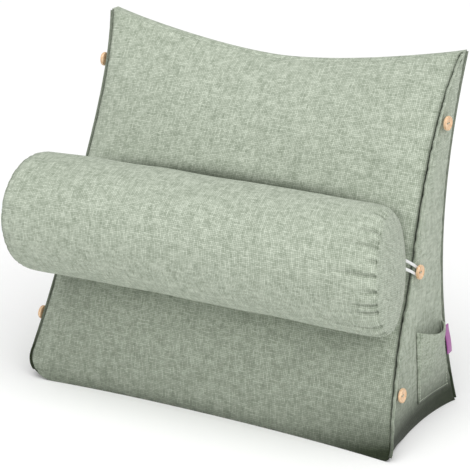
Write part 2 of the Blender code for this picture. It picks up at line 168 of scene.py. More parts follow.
def linen_material():
    """Warp and weft threads, each with its own changing shade, that pass over each other in turn."""
    made, tree, shader = new_material("sage_linen_cloth", SAGE_MIDDLE, Roughness=0.92, Sheen_Weight=0.10,
                                      Sheen_Roughness=0.6, Specular_IOR_Level=0.15)
    lay = add_node(tree, "ShaderNodeUVMap", uv_map="cloth").outputs["UV"]
    split = add_node(tree, "ShaderNodeSeparateXYZ", {"Vector": lay})
    drift = add_node(tree, "ShaderNodeTexNoise", {"Vector": lay}, Scale=1 / THREAD_WANDER, Detail=1.0)
    drifts = add_node(tree, "ShaderNodeSeparateXYZ", {"Vector": drift.outputs["Color"]})
    numbers, shades, rounds = [], [], []
    for over, along, step, seed in (("X", "Y", WARP_STEP, WARP_SEED), ("Y", "X", WEFT_STEP, WEFT_SEED)):
        straight = add_node(tree, "ShaderNodeMath", {0: split.outputs[over], 1: THREAD_SPACING},
                            operation="DIVIDE")
        swayed = add_node(tree, "ShaderNodeMath",
                          {0: drifts.outputs[over], 1: THREAD_SWAY, 2: straight.outputs[0]},
                          operation="MULTIPLY_ADD").outputs[0]
        number = add_node(tree, "ShaderNodeMath", {0: swayed}, operation="FLOOR").outputs[0]
        spread = add_node(tree, "ShaderNodeMath", {0: number, 1: step}, operation="MULTIPLY")
        run = add_node(tree, "ShaderNodeMath", {0: split.outputs[along], 1: SLUB_LENGTH},
                       operation="DIVIDE")
        spot = add_node(tree, "ShaderNodeCombineXYZ", {"X": spread.outputs[0], "Y": run.outputs[0]}, Z=seed)
        slub = add_node(tree, "ShaderNodeTexNoise", {"Vector": spot.outputs[0]}, Scale=1.0, Detail=1.0)
        within = add_node(tree, "ShaderNodeMath", {0: swayed}, operation="FRACT")
        half_turn = add_node(tree, "ShaderNodeMath", {0: within.outputs[0], 1: math.pi},
                             operation="MULTIPLY")
        bulge = add_node(tree, "ShaderNodeMath", {0: half_turn.outputs[0]}, operation="SINE")
        numbers.append(number)
        shades.append(slub.outputs["Fac"])
        rounds.append(bulge.outputs[0])
    total = add_node(tree, "ShaderNodeMath", {0: numbers[0], 1: numbers[1]}, operation="ADD")
    shifted = add_node(tree, "ShaderNodeMath", {0: total.outputs[0], 1: EVEN_SHIFT}, operation="ADD")
    weft_over = add_node(tree, "ShaderNodeMath", {0: shifted.outputs[0], 1: 2},
                         operation="MODULO").outputs[0]
    share = add_node(tree, "ShaderNodeMath", {0: weft_over, 1: WEFT_GAIN, 2: WEFT_UNDER},
                     operation="MULTIPLY_ADD")
    on_top = add_node(tree, "ShaderNodeMix", {"Factor": share.outputs[0], "A": shades[0], "B": shades[1]},
                      data_type="FLOAT")
    relief = add_node(tree, "ShaderNodeMix", {"Factor": weft_over, "A": rounds[0], "B": rounds[1]},
                      data_type="FLOAT").outputs[0]
    patch = add_node(tree, "ShaderNodeTexNoise", {"Vector": lay}, Scale=PATCHES_PER_METRE, Detail=2.0)
    slubbed = add_node(tree, "ShaderNodeMath", {0: on_top.outputs[0], 1: SLUB_CONTRAST},
                       operation="MULTIPLY")
    patched = add_node(tree, "ShaderNodeMath",
                       {0: patch.outputs["Fac"], 1: PATCH_CONTRAST, 2: slubbed.outputs[0]},
                       operation="MULTIPLY_ADD")
    shade = add_node(tree, "ShaderNodeMath", {0: relief, 1: ROUND_CONTRAST, 2: patched.outputs[0]},
                     operation="MULTIPLY_ADD")
    ramp = add_node(tree, "ShaderNodeValToRGB", {"Fac": shade.outputs[0]})
    ramp.color_ramp.elements[0].position = DARK_AT
    ramp.color_ramp.elements[0].color = srgb(SAGE_DARK)
    ramp.color_ramp.elements[1].position = PALE_AT
    ramp.color_ramp.elements[1].color = srgb(SAGE_PALE)
    ramp.color_ramp.elements.new(MIDDLE_AT).color = srgb(SAGE_MIDDLE)
    # Painted shade: this attribute darkens the cloth's colour in seams, creases, where the roll touches the
    # face and towards the base.
    crease_and_painted_shade = add_node(tree, "ShaderNodeAttribute", attribute_name="crease_and_painted_shade")
    shaded = add_node(tree, "ShaderNodeMix",
                      {"Factor": crease_and_painted_shade.outputs["Fac"], 6: ramp.outputs["Color"], 7: srgb(SEAM_SHADE)},
                      data_type="RGBA", blend_type="MULTIPLY")
    tree.links.new(shaded.outputs[2], shader.inputs["Base Color"])
    weave = add_node(tree, "ShaderNodeBump", {"Height": relief}, Strength=0.35, Distance=0.0004)
    tree.links.new(weave.outputs["Normal"], shader.inputs["Normal"])
    return made


linen = linen_material()


# Wedge cushion: one filled body under a sewn cover. The front panel folds over the top, and two side
# panels, a back and a flat base close it. The filling crowns each panel and draws its seams in.
BASE_WIDTH, TOP_WIDTH = 0.468, 0.440
HEIGHT, BASE_DEPTH, TOP_DEPTH, LEAN = 0.399, 0.179, 0.013, 0.025
FRONT_SEAM_IN, FRONT_SEAM_BEND, FRONT_SEAM_SKEW = 0.0143, 3.3, 0.21
BACK_SEAM_IN, BACK_SEAM_FORWARD, BACK_SEAM_SKEW = 0.018, 0.011, 0.14
TOP_DIP, TOP_DIP_BEND = 0.034, 1.7
BASE_EDGE_IN, BASE_EDGE_LIFT, BASE_EDGE_BEND, CORNER_TUCK = 0.012, 0.003, 2.2, 0.011
FRONT_CROWN, BACK_CROWN, SIDE_CROWN, TOP_CROWN = 0.030, 0.018, 0.006, 0.003
SIDE_CROWN_AT_TIP = 0.35
ROLL_RADIUS, ROLL_HALF_LENGTH, ROLL_UP_FACE = 0.068, 0.2165, 0.193
ROLL_FLAT, ROLL_BEND, ROLL_LEFT_DROP, ROLL_CLEARANCE = 0.004, 0.003, 0.003, 0.0012
TROUGH_GAP, TROUGH_BLEND = 0.0003, 0.006
LEFT_CORNER_ROUND, RIGHT_CORNER_ROUND, CORNER_DEPTH = 0.032, 0.011, 0.06
LEFT_CROWN_SHARE, TIGHT_GROOVE_SHARE = 0.45, 0.15     # two seams are pulled tight: left front, right back
SEAM_GROOVE, GROOVE_WIDTH = 0.0030, 0.0022
SEAM_PUCKERS, SEAM_PUCKER_SIZE, SEAM_PUCKER_REACH = 0.0008, 0.010, 0.011
LUMPS, LUMP_SIZE = 0.0010, 0.065
DIMPLES, DIMPLE_SIZE = 0.00035, 0.022
LUMPS_FADE = 0.02

SLOPE = math.atan2(BASE_DEPTH - TOP_DEPTH + LEAN, HEIGHT)
FACE_ORIGIN = numpy.array((0, -BASE_DEPTH / 2, 0))
FACE_UP = numpy.array((0, math.sin(SLOPE), math.cos(SLOPE)))
FACE_OUT = numpy.array((0, -math.cos(SLOPE), math.sin(SLOPE)))


def bow(t, power):
    """1 in the middle of an edge, 0 at its ends."""
    return 1 - numpy.abs(t) ** power


def dome(t):
    """The rounded profile that filling gives a panel between two seams."""
    return numpy.maximum(bow(t, 2.4), 0) ** 0.75


def roll_axis(x):
    """Height up the face and distance out from it of the roll's centre line."""
    from_middle = (x / ROLL_HALF_LENGTH) ** 2
    return ROLL_UP_FACE - (x < 0) * ROLL_LEFT_DROP * from_middle, ROLL_RADIUS - ROLL_BEND * from_middle


def cushion(a, b, c):
    """Points of the wedge: a runs left to right, b front to back and c base to top, each from -1 to 1."""
    a, b, c = (numpy.array(t, dtype=float) + numpy.zeros(numpy.broadcast(a, b, c).shape) for t in (a, b, c))
    rise, back = (c + 1) / 2, (b + 1) / 2
    low = (1 - rise) ** 6
    front_y = -BASE_DEPTH / 2 + (BASE_DEPTH - TOP_DEPTH + LEAN) * rise
    depth = BASE_DEPTH + (TOP_DEPTH - BASE_DEPTH) * rise
    back_in = bow(c, 2) * (1 - BACK_SEAM_SKEW * c)
    front_in = FRONT_SEAM_IN * bow(c, FRONT_SEAM_BEND) * (1 + FRONT_SEAM_SKEW * c)
    half = BASE_WIDTH / 2 + (TOP_WIDTH - BASE_WIDTH) / 2 * rise
    half -= front_in * (1 - back) + BACK_SEAM_IN * back_in * back
    half -= BASE_EDGE_IN * bow(b, BASE_EDGE_BEND) * low
    half -= (a < 0) * CORNER_TUCK * (1 - back) * numpy.exp(-HEIGHT * rise / CORNER_TUCK)
    crown_here = SIDE_CROWN_AT_TIP + (1 - SIDE_CROWN_AT_TIP) * depth / BASE_DEPTH
    crown = SIDE_CROWN * dome(b) * dome(c) * crown_here
    half += numpy.where(a < 0, crown * (LEFT_CROWN_SHARE + (1 - LEFT_CROWN_SHARE) * back), crown)
    y = front_y + depth * back - BACK_SEAM_FORWARD * back_in * back * numpy.abs(a) ** 4
    base_in = BASE_EDGE_IN * bow(a, BASE_EDGE_BEND) * low * (1 - 2 * back)
    y += base_in + (b == 1) * BACK_CROWN * dome(a) * dome(c)
    z = HEIGHT * rise - TOP_DIP * bow(a, TOP_DIP_BEND) * rise ** 4
    z += (c == 1) * TOP_CROWN * bow(b, 2) * bow(a, 4)
    rim = (c > -1) | (abs(a) == 1) | (abs(b) == 1)
    lift = numpy.maximum(bow(a, BASE_EDGE_BEND) * abs(b) ** 8, bow(b, BASE_EDGE_BEND) * abs(a) ** 8)
    z += rim * BASE_EDGE_LIFT * lift * low
    corner = numpy.where(a < 0, LEFT_CORNER_ROUND, RIGHT_CORNER_ROUND)
    inwards = numpy.clip(1 - (1 - numpy.abs(a)) * BASE_WIDTH / 2 / corner, 0, 1)
    down = numpy.clip(1 - z / corner, 0, 1)
    at_front = numpy.clip(1 - back * depth / CORNER_DEPTH, 0, 1)
    half -= corner * inwards * (1 - numpy.sqrt(1 - down ** 2 / 2)) * at_front
    z += corner * down * (1 - numpy.sqrt(1 - inwards ** 2 / 2)) * at_front
    points = numpy.stack((a * half, y, z), axis=-1)

    offset = points - FACE_ORIGIN
    out, up = offset @ FACE_OUT, offset @ FACE_UP
    axis_up, axis_out = roll_axis(points[..., 0])
    round_part = numpy.sqrt(numpy.maximum((ROLL_RADIUS + ROLL_CLEARANCE) ** 2 - (up - axis_up) ** 2, 0))
    limit = axis_out - numpy.minimum(round_part, ROLL_RADIUS - ROLL_FLAT) - TROUGH_GAP
    crowned = out + FRONT_CROWN * dome(a) * dome(c)
    pressed = (crowned + limit - numpy.hypot(crowned - limit, TROUGH_BLEND)) / 2
    return points + (b == -1)[..., None] * (pressed - out)[..., None] * FACE_OUT


def graded(count, edge_steps):
    """Values from -1 to 1, even in the middle and closing up near both ends by the given shares."""
    ends = numpy.array(edge_steps)
    inner = numpy.linspace(-1 + ends[-1], 1 - ends[-1], count)
    return numpy.concatenate((-1 + numpy.array((0, *ends[:-1])), inner, 1 - numpy.array((*ends[-2::-1], 0))))


def box_grid(columns, layers, rows):
    """The six faces of a grid cube as shared points, with each face's four corners and its panel's name."""
    values = (columns, layers, rows)
    steps = [len(line) - 1 for line in values]
    index, places, faces, panels = {}, [], [], []

    def spot(key):
        if key not in index:
            index[key] = len(places)
            places.append([values[n][key[n]] for n in range(3)])
        return index[key]

    for axis, names in enumerate((("left", "right"), ("front", "back"), ("base", "top"))):
        one, two = [n for n in range(3) if n != axis]
        for end, panel in zip((0, steps[axis]), names):
            turned = (axis == 1) == (end == 0)
            for p in range(steps[one]):
                for q in range(steps[two]):
                    ring = []
                    for dp, dq in ((0, 0), (1, 0), (1, 1), (0, 1)):
                        key = [end, end, end]
                        key[one], key[two] = p + dp, q + dq
                        ring.append(spot(tuple(key)))
                    faces.append(ring if turned else ring[::-1])
                    panels.append(panel)
    return numpy.array(places), faces, panels


def ripple(points, size, seed):
    """Smooth noise from -1 to 1 with features of a size in metres."""
    shift = Vector((seed * 7.3, seed * 3.1, seed * 5.7))
    return numpy.array([noise.noise(Vector(point) / size + shift) for point in points])


def mesh_piece(name, points, faces, material):
    """A smooth-shaded piece of the pillow from its points and faces."""
    mesh = bpy.data.meshes.new(name)
    mesh.from_pydata([tuple(point) for point in points], [], [tuple(face) for face in faces])
    mesh.update()
    mesh.shade_smooth()
    mesh.materials.append(material)
    item = bpy.data.objects.new(name, mesh)
    bpy.context.scene.collection.objects.link(item)
    return item


def lay_cloth(item, flat_of_loop, painted_shades):
    """Gives a piece its cloth UV map in metres, and the painted shade that darkens each of its points."""
    layer = item.data.uv_layers.new(name="cloth")
    layer.data.foreach_set("uv", numpy.array(flat_of_loop, dtype=float).ravel())
    # The painted shade is kept as a point attribute that the cloth material multiplies into its colour.
    depth = item.data.attributes.new("crease_and_painted_shade", "FLOAT", "POINT")
    depth.data.foreach_set("value", numpy.clip(painted_shades, 0, 1))


def normals_of(item):
    """The direction out of the cloth at each point of a piece."""
    values = numpy.zeros(len(item.data.vertices) * 3)
    item.data.vertex_normals.foreach_get("vector", values)
    return values.reshape(-1, 3)


SEAM_STEPS = (0.0035, 0.0070, 0.0110, 0.0160, 0.0230, 0.0330)
DEPTH_STEPS = (0.010, 0.022, 0.038, 0.062, 0.1)
places, cover_faces, panels = box_grid(graded(110, SEAM_STEPS), graded(30, DEPTH_STEPS),
                                       graded(120, SEAM_STEPS))
points = cushion(*places.T)
cover = mesh_piece("wedge_cover", points, cover_faces, linen)
across, front_back, height = places.T
side_gap = (1 - numpy.abs(across)) * BASE_WIDTH / 2
depth_here = BASE_DEPTH + (TOP_DEPTH - BASE_DEPTH) * (height + 1) / 2
front_gap = (1 + front_back) / 2 * depth_here
back_gap = (1 - front_back) / 2 * depth_here
on_side = numpy.abs(across) == 1
seam_gap = numpy.where(on_side, numpy.minimum(front_gap, back_gap), side_gap)
end_gap = numpy.minimum(1 - height, 1 + height) * HEIGHT / 2
on_end = numpy.abs(height) == 1
seam_gap = numpy.where(on_end & ~on_side, numpy.minimum(side_gap, LUMPS_FADE), seam_gap)
groove = numpy.exp(-(seam_gap / GROOVE_WIDTH) ** 2) * numpy.clip(end_gap / 0.006, 0, 1)
groove = groove * numpy.where(across * front_back > 0, TIGHT_GROOVE_SHARE, 1)
away = numpy.clip(seam_gap / LUMPS_FADE, 0, 1) * numpy.clip(end_gap / LUMPS_FADE, 0, 1)
puckers = ripple(points * (1, 1, 1.6), SEAM_PUCKER_SIZE, 1) * SEAM_PUCKERS
puckers = puckers * numpy.exp(-seam_gap / SEAM_PUCKER_REACH) * numpy.clip(end_gap / 0.01, 0, 1)
lumps = LUMPS * ripple(points, LUMP_SIZE, 2) + DIMPLES * ripple(points, DIMPLE_SIZE, 3)
move = -SEAM_GROOVE * groove + puckers + lumps * away
move[height == -1] = 0
moved = points + normals_of(cover) * move[:, None]
cover.data.vertices.foreach_set("co", moved.ravel())
cover.data.update()
cover_flat = []
for face, panel in zip(cover_faces, panels):
    for corner in face:
        x, y, z = points[corner]
        if panel in ("left", "right"):
            cover_flat.append((y, z + 1))
        elif panel in ("base", "top"):
            cover_flat.append((x, y + 2))
        else:
            cover_flat.append((x, (points[corner] - FACE_ORIGIN) @ FACE_UP + (panel == "back")))

# Painted shade in the cloth's colour: along the seams, a painted contact shadow where the roll touches the
# face, and painted shade towards the tucked base. Each shade of the base has a strength, a height in metres
# over which it fades, and a power.
SIDE_SEAM_SHADE_WIDTH, LEFT_SEAM_SHADE_WIDTH, RIGHT_SEAM_SHADE_WIDTH = 0.0030, 0.0026, 0.0040
CONTACT_REACH, CONTACT_BELOW = 0.0215, 0.25
CONTACT_END_IN, CONTACT_END_FADE = 0.042, 0.034
SIDE_TUCK, SIDE_FADE = (0.76, 0.034, 2.5), (0.34, 0.09, 2)
FRONT_TUCK, FRONT_FADE = (0.25, 0.013, 2), (0.36, 0.105, 2)
FRONT_RIGHT_TUCK = (0.58, 0.042, 2)


def base_fade(z, strength, reach, power):
    """A shade that is full at the base and fades upwards."""
    return strength * numpy.exp(-(z / reach) ** power)


def low_shade(spots, of_side_panel):
    """How much painted shade darkens the cloth near the base, where each panel is tucked under the filling.
    """
    z = numpy.maximum(spots[:, 2], 0)
    to_right = numpy.clip((spots[:, 0] / (BASE_WIDTH / 2) - 0.3) / 0.7, 0, 1) ** 1.5
    side_shade = base_fade(z, *SIDE_TUCK) + base_fade(z, *SIDE_FADE)
    front_shade = base_fade(z, *FRONT_FADE) + base_fade(z, *FRONT_TUCK)
    front_shade += to_right * base_fade(z, *FRONT_RIGHT_TUCK)
    return numpy.where(of_side_panel, side_shade, front_shade)


seam_shade_width = numpy.where(on_side, SIDE_SEAM_SHADE_WIDTH, numpy.where(across < 0, LEFT_SEAM_SHADE_WIDTH, RIGHT_SEAM_SHADE_WIDTH))
seam_painted_shade = numpy.exp(-(seam_gap / seam_shade_width) ** 2) * (end_gap > 0)
offset = moved - FACE_ORIGIN
axis_up, axis_out = roll_axis(moved[:, 0])
above = offset @ FACE_UP - axis_up
from_roll = numpy.maximum(numpy.hypot(above, offset @ FACE_OUT - axis_out) - ROLL_RADIUS, 0)
reach = numpy.where(above > 0, CONTACT_REACH, CONTACT_REACH * CONTACT_BELOW)
past_end = (numpy.abs(moved[:, 0]) - ROLL_HALF_LENGTH + CONTACT_END_IN) / CONTACT_END_FADE
contact_painted_shadow = numpy.exp(-(from_roll / reach) ** 4) * (1 - numpy.clip(past_end, 0, 1)) * (front_back == -1)
lay_cloth(cover, cover_flat, numpy.maximum(seam_painted_shade, contact_painted_shadow + low_shade(moved, on_side)))
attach(cover, "root")
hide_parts("wedge_cushion")


# Seam lips: the four side seams are sewn with their allowances outside, folded in and stitched, so a
# narrow puckered flange of the cover cloth stands out all along each seam.
LIP_THICK, LIP_HIGH, LIP_OUT = 0.0013, 0.0031, 0.0010
LIP_FROM, LIP_TO, LIP_STEPS = -0.985, 0.990, 260
LIP_WAVE, LIP_WAVE_LENGTH, LIP_WAVE_OUT = 0.0009, 0.006, 0.4
LIP_SHADE = 0.75
TIGHT_LIP, TIGHT_LIP_PAINTED_SHADE = 0.55, 0.55


def ring_faces(rings, count):
    """The faces of a skin over rings of points: quads from each ring to the next, then the two end caps."""
    faces = []
    for ring in range(rings - 1):
        for n in range(count):
            here, after = ring * count + n, ring * count + (n + 1) % count
            faces.append([here, after, after + count, here + count])
    return faces + [[first + n for n in range(count)] for first in (0, (rings - 1) * count)]


def turn_outwards(item):
    """Turns every face of a closed piece to its outside."""
    shell = bmesh.new()
    shell.from_mesh(item.data)
    bmesh.ops.recalc_face_normals(shell, faces=shell.faces)
    shell.to_mesh(item.data)
    shell.free()


def sweep(name, line, sides_of, profile, material):
    """A skin along a line and its flat cloth: sides_of gives two directions across, profile its outline."""
    line = numpy.asarray(line)
    rings = [point + profile[:, :1] * one + profile[:, 1:] * two for point, (one, two) in zip(line, sides_of)]
    count = len(profile)
    run = numpy.concatenate(((0,), numpy.cumsum(numpy.linalg.norm(numpy.diff(line, axis=0), axis=1))))
    girth = numpy.linalg.norm(profile[1] - profile[0])
    flat = []
    for low, high in zip(run, run[1:]):
        for n in range(count):
            flat += [(girth * n, low), (girth * (n + 1), low), (girth * (n + 1), high), (girth * n, high)]
    flat += [(girth * n, 0) for n in range(count)] * 2
    item = mesh_piece(name, numpy.concatenate(rings), ring_faces(len(line), count), material)
    turn_outwards(item)
    return item, flat


def oval(wide, high, sides):
    """The outline of an oval, as points."""
    angles = numpy.arange(sides) * 2 * math.pi / sides
    return numpy.stack((wide * numpy.cos(angles), high * numpy.sin(angles)), axis=-1)


for side, side_name in ((-1, "left"), (1, "right")):
    for end, end_name in ((-1, "front"), (1, "back")):
        heights = numpy.linspace(LIP_FROM, LIP_TO, LIP_STEPS)
        line = cushion(numpy.full(LIP_STEPS, side), numpy.full(LIP_STEPS, end), heights)
        out = numpy.array(FACE_OUT if end < 0 else (0, 1, 0)) + (side, 0, 0)
        out = out / numpy.linalg.norm(out)
        along = numpy.gradient(line, axis=0)
        along /= numpy.linalg.norm(along, axis=1)[:, None]
        thin = numpy.cross(along, out)
        thin /= numpy.linalg.norm(thin, axis=1)[:, None]
        slim = TIGHT_LIP if side == end else 1.0
        wave = ripple(line, LIP_WAVE_LENGTH, 11 + side + 2 * end) * LIP_WAVE * slim
        line = line + out * (LIP_OUT * slim + LIP_WAVE_OUT * wave)[:, None] + thin * wave[:, None]
        frames = list(zip(thin, [out] * len(line)))
        outline = oval(LIP_THICK * slim, LIP_HIGH * slim, 14)
        lip, lip_flat = sweep(f"seam_lip_{end_name}_{side_name}", line, frames, outline, linen)
        spots = numpy.array([v.co for v in lip.data.vertices])
        # Painted shade: each lip darkens towards the base like the side panels, and the two tight lips are
        # painted darker all along.
        lip_painted_shade = LIP_SHADE * low_shade(spots, True) + (TIGHT_LIP_PAINTED_SHADE if slim < 1 else 0)
        lay_cloth(lip, lip_flat, lip_painted_shade)
        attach(lip, "root")
        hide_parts(f"welt_{end_name}_{side_name}")


# Neck roll: a round bolster, tightly filled, sewn from one tube of the cover cloth and two end panels.
# The end seams gather the tube into short puckers, and its back is pressed flat against the face.
# Values in pairs are for the left end, -1, and the right end, 1.
ROLL_END_TILT = {-1: 0.105, 1: 0.13}
ROLL_END_SLANT = {-1: -0.025, 1: -0.16}
ROLL_END_DRAW = {-1: 0.012, 1: 0.08}
ROLL_DRAW_LENGTH, ROLL_END_BULGE = 0.0065, 0.0087
ROLL_AROUND = 320
ROLL_LUMPS, ROLL_LUMP_SIZE, ROLL_LUMP_FADE = 0.0012, 0.06, 0.02
PUCKERS, PUCKER_LENGTH, PUCKER_WIDTH = 27, 0.020, 0.0025
# Painted shade darkens the cloth's colour in the puckers' folds and along the end seams.
PUCKER_DEPTH, PUCKER_PAINTED_SHADE = {-1: 0.0008, 1: 0.0030}, {-1: 0.12, 1: 0.34}
GATHERS, GATHER_SIZE, GATHER_REACH = 0.2, 0.009, 0.015
END_SEAM_GROOVE, END_SEAM_WIDTH = {-1: 0.0012, 1: 0.0007}, 0.0025
END_SEAM_PAINTED_SHADE, END_SEAM_PAINTED_SHADE_WIDTH = {-1: 0.30, 1: 0.10}, 0.0012
ENDS_APART = 3                # sets the noise and the flat cloth of the two end panels well apart


def pucker_folds(side, angle, from_end):
    """How deep each point lies in the short folds that gather the tube into an end seam."""
    drawn = [[noise.noise(Vector((1.7 * n, 5.3 * side + k, 0.4))) for n in range(PUCKERS)] for k in (0, 9)]
    shifts, stretches = numpy.array(drawn)
    spots = (numpy.arange(PUCKERS) + 1.1 * shifts) * 2 * math.pi / PUCKERS
    lengths = PUCKER_LENGTH * (0.55 + 4.5 * stretches ** 2)
    gap = (angle[:, None] - spots + math.pi) % (2 * math.pi) - math.pi
    folds = numpy.exp(-(gap * ROLL_RADIUS / PUCKER_WIDTH) ** 2) * numpy.exp(-(from_end / lengths) ** 2)
    return folds.max(axis=1)


def roll_ring(share, size, bulge, tube):
    """One ring of the roll and the painted shade of its pucker folds: share goes from -1 at the left end to
    1.
    """
    side = -1 if share < 0 else 1
    angle = numpy.arange(ROLL_AROUND) * 2 * math.pi / ROLL_AROUND
    from_end = (1 - abs(share)) * ROLL_HALF_LENGTH
    far = numpy.full(ROLL_AROUND, float(side * ENDS_APART))
    rim = numpy.stack((far, numpy.cos(angle), numpy.sin(angle)), axis=-1)
    crease_and_painted_shade = pucker_folds(side, angle, from_end) * (1 if tube else size ** 10)
    gathers = ripple(rim * (1, ROLL_RADIUS, ROLL_RADIUS), GATHER_SIZE, 21)
    gathers = gathers * math.exp(-from_end / GATHER_REACH) * size ** 8
    around = rim * (0, ROLL_RADIUS, ROLL_RADIUS) + (share * ROLL_HALF_LENGTH, 0, 0)
    lumps = ripple(around, ROLL_LUMP_SIZE, 23) * ROLL_LUMPS * min(from_end / ROLL_LUMP_FADE, 1)
    radius = ROLL_RADIUS * size - PUCKER_DEPTH[side] * (crease_and_painted_shade + GATHERS * gathers) + lumps
    if tube:
        radius = radius - END_SEAM_GROOVE[side] * math.exp(-(from_end / END_SEAM_WIDTH) ** 2)
    out = numpy.maximum(radius * numpy.cos(angle), ROLL_FLAT - ROLL_RADIUS)
    up = radius * numpy.sin(angle)
    x = share * (ROLL_HALF_LENGTH + ROLL_END_TILT[side] * out)
    x = x + abs(share) * ROLL_END_SLANT[side] * up + side * bulge
    axis_up, axis_out = roll_axis(x)
    spots = FACE_ORIGIN + x[:, None] * (1, 0, 0) + (axis_up + up)[:, None] * FACE_UP
    return spots + (axis_out + out)[:, None] * FACE_OUT, PUCKER_PAINTED_SHADE[side] * crease_and_painted_shade


END_STEPS = (0.0006, 0.0013, 0.0022, 0.0034, 0.0052, 0.0078, 0.0110, 0.0150, 0.0200, 0.0260)
shares = graded(78, [step / ROLL_HALF_LENGTH for step in END_STEPS])
discs = [1 - step / ROLL_RADIUS for step in (0.0008, 0.0020, 0.0036)] + list(numpy.linspace(0.92, 0.03, 20))
turns = numpy.arange(ROLL_AROUND + 1) * 2 * math.pi / ROLL_AROUND
roll_rings = []
for side in (-1, 1):
    end_rings = []
    for q in discs:
        bulge = ROLL_END_BULGE * bow(q, 2.4) ** 0.8
        across_end = q * ROLL_RADIUS * numpy.cos(turns) + ENDS_APART * side
        flat = numpy.stack((across_end, q * ROLL_RADIUS * numpy.sin(turns)), axis=-1)
        # Painted shade along the seam round the end panel.
        depth = END_SEAM_PAINTED_SHADE[side] * math.exp(-((1 - q) * ROLL_RADIUS / END_SEAM_PAINTED_SHADE_WIDTH) ** 2)
        spots, painted_shades = roll_ring(side, q * (1 - ROLL_END_DRAW[side]), bulge, False)
        end_rings.append((spots, flat, numpy.maximum(painted_shades, depth)))
    if side > 0:
        roll_rings += end_rings
        continue
    roll_rings += end_rings[::-1]
    for share in shares:
        end = -1 if share < 0 else 1
        from_end = (1 - abs(share)) * ROLL_HALF_LENGTH
        size = 1 - ROLL_END_DRAW[end] * math.exp(-from_end / ROLL_DRAW_LENGTH)
        along_tube = numpy.full(len(turns), share * ROLL_HALF_LENGTH)
        flat = numpy.stack((along_tube, turns * ROLL_RADIUS), axis=-1)
        # Painted shade along the end seam.
        depth = END_SEAM_PAINTED_SHADE[end] * math.exp(-(from_end / END_SEAM_PAINTED_SHADE_WIDTH) ** 2)
        spots, painted_shades = roll_ring(share, size, 0, True)
        roll_rings.append((spots, flat, numpy.maximum(painted_shades, depth)))

# Where the tube meets an end panel their flat cloths lie apart, so the quads between take one of them.
roll_flat = []
for (_, low, _), (_, high, _) in zip(roll_rings, roll_rings[1:]):
    if abs(low[0][0] - high[0][0]) > 0.5:
        low = high
    for n in range(ROLL_AROUND):
        roll_flat += [low[n], low[n + 1], high[n + 1], high[n]]
roll_flat += [*roll_rings[0][1][:-1], *roll_rings[-1][1][:-1]]
roll_points = numpy.concatenate([ring[0] for ring in roll_rings])
roll_faces = ring_faces(len(roll_rings), ROLL_AROUND)
roll = mesh_piece("neck_roll_cover", roll_points, roll_faces, linen)
lay_cloth(roll, roll_flat, numpy.concatenate([ring[2] for ring in roll_rings]))
turn_outwards(roll)
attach(roll, "root")
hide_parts("neck_roll")


# Side pocket: a patch of the cover cloth with a hemmed mouth, sewn to the right side panel by its two
# sides and its bottom. Its mouth is cut in a shallow curve and stands open.
POCKET_FRONT_TOP, POCKET_FRONT_BOTTOM = numpy.array((0.000, 0.113)), numpy.array((0.005, 0.027))
POCKET_BACK_BOTTOM, POCKET_BACK_TOP = numpy.array((0.078, 0.022)), numpy.array((0.076, 0.099))
POCKET_WIDTH, POCKET_SAG, POCKET_GAPE, POCKET_GAP = 0.075, 0.005, 0.013, 0.0006
POCKET_CLOTH, HEM_THICK, HEM_HEIGHT, HEM_BLEND = 0.0013, 0.0022, 0.011, 0.0006
EDGE_RIDGE, EDGE_RIDGE_IN, EDGE_RIDGE_WIDTH, EDGE_THINNING = 0.0004, 0.003, 0.002, 0.0008
WRINKLES, WRINKLE_SIZE = 0.0006, 0.016
POCKET_COLUMNS, POCKET_ROWS = 56, 48

panel_skin = BVHTree.FromPolygons([Vector(point) for point in moved], cover_faces)


def pocket_spot(sideways, up):
    """The y and z of a place on the pocket, given as shares of its width and height."""
    bottom = POCKET_FRONT_BOTTOM + (POCKET_BACK_BOTTOM - POCKET_FRONT_BOTTOM) * sideways
    top = POCKET_FRONT_TOP + (POCKET_BACK_TOP - POCKET_FRONT_TOP) * sideways
    top = top - (0, POCKET_SAG * math.sin(math.pi * sideways))
    return bottom + (top - bottom) * up


def pocket_skin(sideways, up):
    """The inner side of the pocket cloth at a place on it."""
    y, z = pocket_spot(sideways, up)
    place = panel_skin.ray_cast(Vector((0.5, y, z)), Vector((-1, 0, 0)))[0]
    gape = POCKET_GAPE * math.sin(math.pi * sideways) ** 0.7 * up ** 1.1
    return numpy.array(place) + (POCKET_GAP + gape, 0, 0)


inner, outer, flat_grid = [], [], []
pocket_height = POCKET_FRONT_TOP[1] - POCKET_FRONT_BOTTOM[1]
for j in range(POCKET_ROWS + 1):
    up = (j / POCKET_ROWS) ** 0.9
    for i in range(POCKET_COLUMNS + 1):
        sideways = i / POCKET_COLUMNS
        start = pocket_skin(sideways, up)
        from_edge = min(sideways, 1 - sideways) * POCKET_WIDTH
        from_mouth = (1 - up) * pocket_height
        thick = POCKET_CLOTH
        thick += (HEM_THICK - POCKET_CLOTH) / (1 + math.exp((from_mouth - HEM_HEIGHT) / HEM_BLEND))
        thick += EDGE_RIDGE * math.exp(-((from_edge - EDGE_RIDGE_IN) / EDGE_RIDGE_WIDTH) ** 2)
        thick *= 1 - 0.5 * math.exp(-from_edge / EDGE_THINNING)
        wrinkle = WRINKLES * noise.noise(Vector(start) / WRINKLE_SIZE) * min(from_edge / 0.01, 1)
        inner.append(start + (wrinkle, 0, 0))
        outer.append(start + (wrinkle + thick, 0, 0))
        flat_grid.append((start[1] + 5, start[2]))
row = POCKET_COLUMNS + 1
shift = len(inner)
pocket_faces = []
for j in range(POCKET_ROWS):
    for i in range(POCKET_COLUMNS):
        quad = [j * row + i, j * row + i + 1, (j + 1) * row + i + 1, (j + 1) * row + i]
        pocket_faces += [quad, [n + shift for n in reversed(quad)]]
rim = list(range(row)) + [j * row + POCKET_COLUMNS for j in range(1, POCKET_ROWS + 1)]
